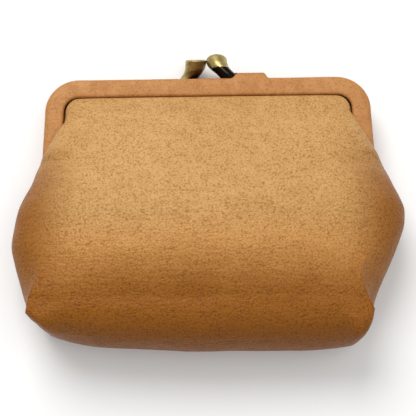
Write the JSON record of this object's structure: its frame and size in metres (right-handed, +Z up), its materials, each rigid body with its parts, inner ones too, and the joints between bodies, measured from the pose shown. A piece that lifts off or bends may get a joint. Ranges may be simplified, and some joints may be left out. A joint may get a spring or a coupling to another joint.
{
  "type": "coin purse",
  "caption": "Small kiss-lock coin purse: a soft boxed-corner tan leather bag on a leather-wrapped hinged steel frame with an antique brass two-finger clasp.",
  "frame": {"origin": "on the surface the purse lies on, under the middle of its whole length and width, clasp included", "axes": "+X to the purse's right as its front is seen, along the hinge axis; +Y from the bottom of the bag towards the clasp; +Z up out of the front"},
  "size_m": [0.1212, 0.0916, 0.033],
  "materials": {
    "body_leather": "pebbled full-grain, satin",
    "band_leather": "thin smooth leather stretched over the frame",
    "lining_cloth": "fine plain-weave cotton",
    "antique_brass": "antiqued, worn bright on the high spots",
    "frame_steel": "nickel-plated sheet",
    "rivet_steel": "plated",
    "cord_paper": "twisted paper",
    "thread": "bonded polyester thread"
  },
  "bodies": {
    "back_half": {"back_frame": "frame_steel", "back_frame_wrap": "band_leather", "back_clasp_finger": "antique_brass", "back_clasp_rivets": "rivet_steel", "back_paper_cord": "cord_paper", "back_panel": "body_leather", "back_lining": "lining_cloth", "front_panel_lower": "body_leather", "front_lining_lower": "lining_cloth", "hinge_rivet_left": "rivet_steel", "hinge_rivet_right": "rivet_steel", "side_seam_thread_left": "thread", "side_seam_thread_right": "thread", "bottom_seam_thread": "thread", "corner_seam_thread_left": "thread", "corner_seam_thread_right": "thread"},
    "front_half": {"front_frame": "frame_steel", "front_frame_wrap": "band_leather", "front_clasp_finger": "antique_brass", "front_clasp_rivets": "rivet_steel", "front_paper_cord": "cord_paper", "front_panel_upper": "body_leather", "front_lining_upper": "lining_cloth"}
  },
  "joints": [
    {"name": "frame_hinge", "type": "hinge", "parent": "back_half", "child": "front_half", "pos_m": [0, 0.01405, 0.00615], "axis": [1, 0, 0], "range_deg": [0, 65]}
  ]
}
